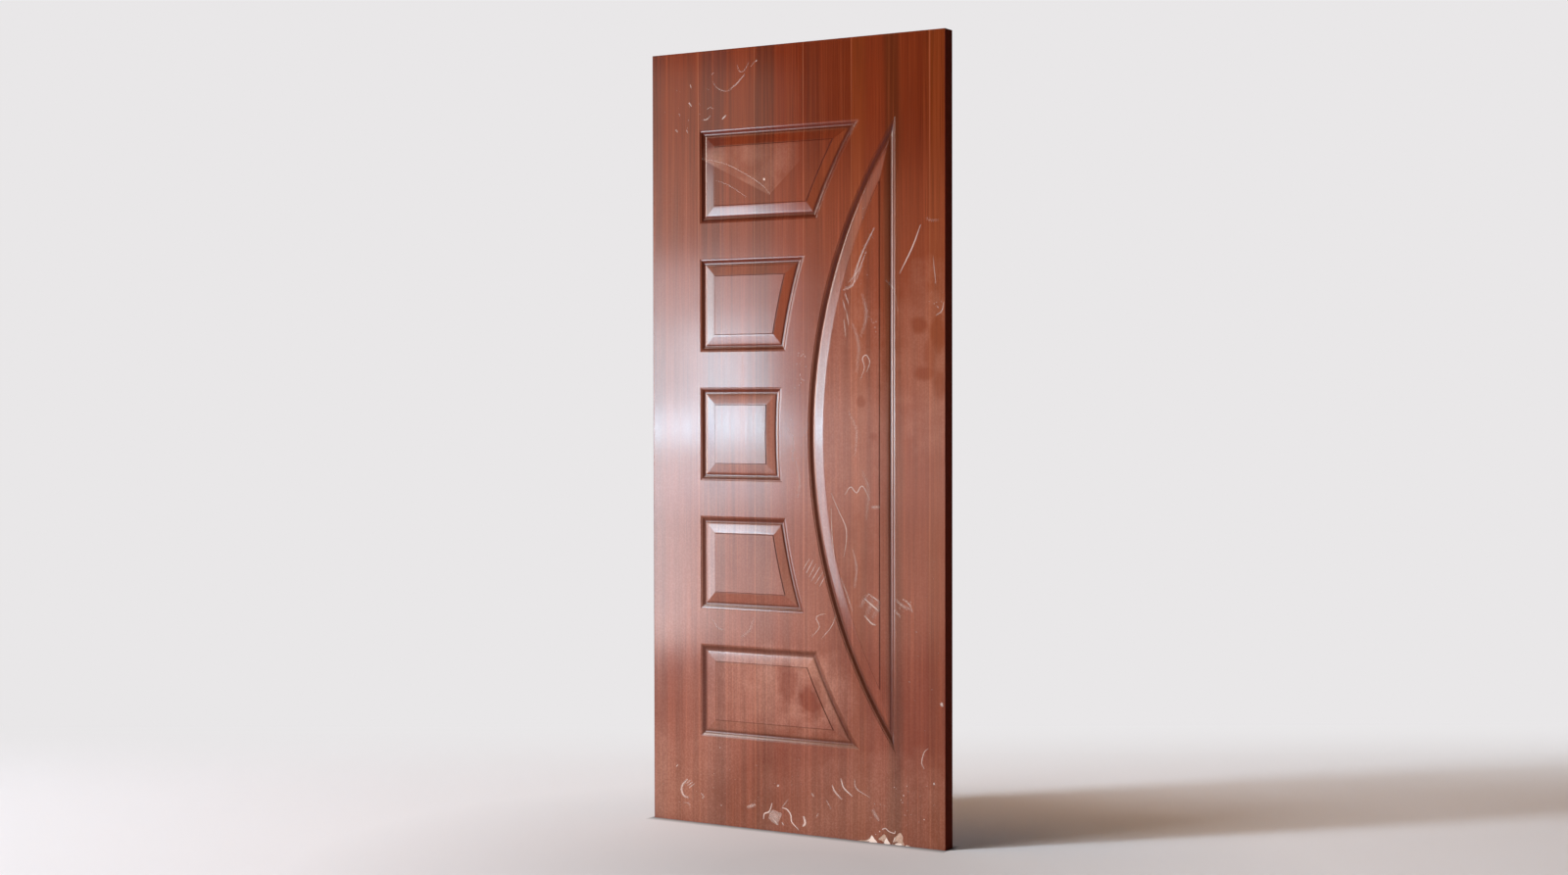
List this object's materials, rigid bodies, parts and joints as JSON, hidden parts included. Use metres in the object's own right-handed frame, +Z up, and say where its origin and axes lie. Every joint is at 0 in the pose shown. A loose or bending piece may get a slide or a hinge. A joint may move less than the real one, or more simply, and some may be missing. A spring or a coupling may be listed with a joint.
{
  "type": "moulded panel door leaf",
  "caption": "Interior door leaf with pressed moulded panels on both faces: a column of small panels beside a tall half-moon panel, woodgrain film finish.",
  "frame": {"origin": "middle of the leaf's bottom edge, on the floor", "axes": "+Z up along the leaf's height, +X across its width towards the half-moon panel's side, front face towards -Y"},
  "size_m": [0.9, 0.04, 2.1],
  "materials": {
    "woodgrain_film": "printed red-brown woodgrain film, semi-gloss",
    "softwood": "raw sawn softwood",
    "dark_edging": "dark brown edging, semi-gloss"
  },
  "bodies": {
    "root": {"front_skin": "woodgrain_film", "back_skin": "woodgrain_film", "left_stile": "softwood", "right_stile": "softwood", "top_rail": "softwood", "bottom_rail": "softwood", "left_lock_block": "softwood", "right_lock_block": "softwood", "left_edge_band": "dark_edging", "right_edge_band": "dark_edging"}
  },
  "joints": []
}
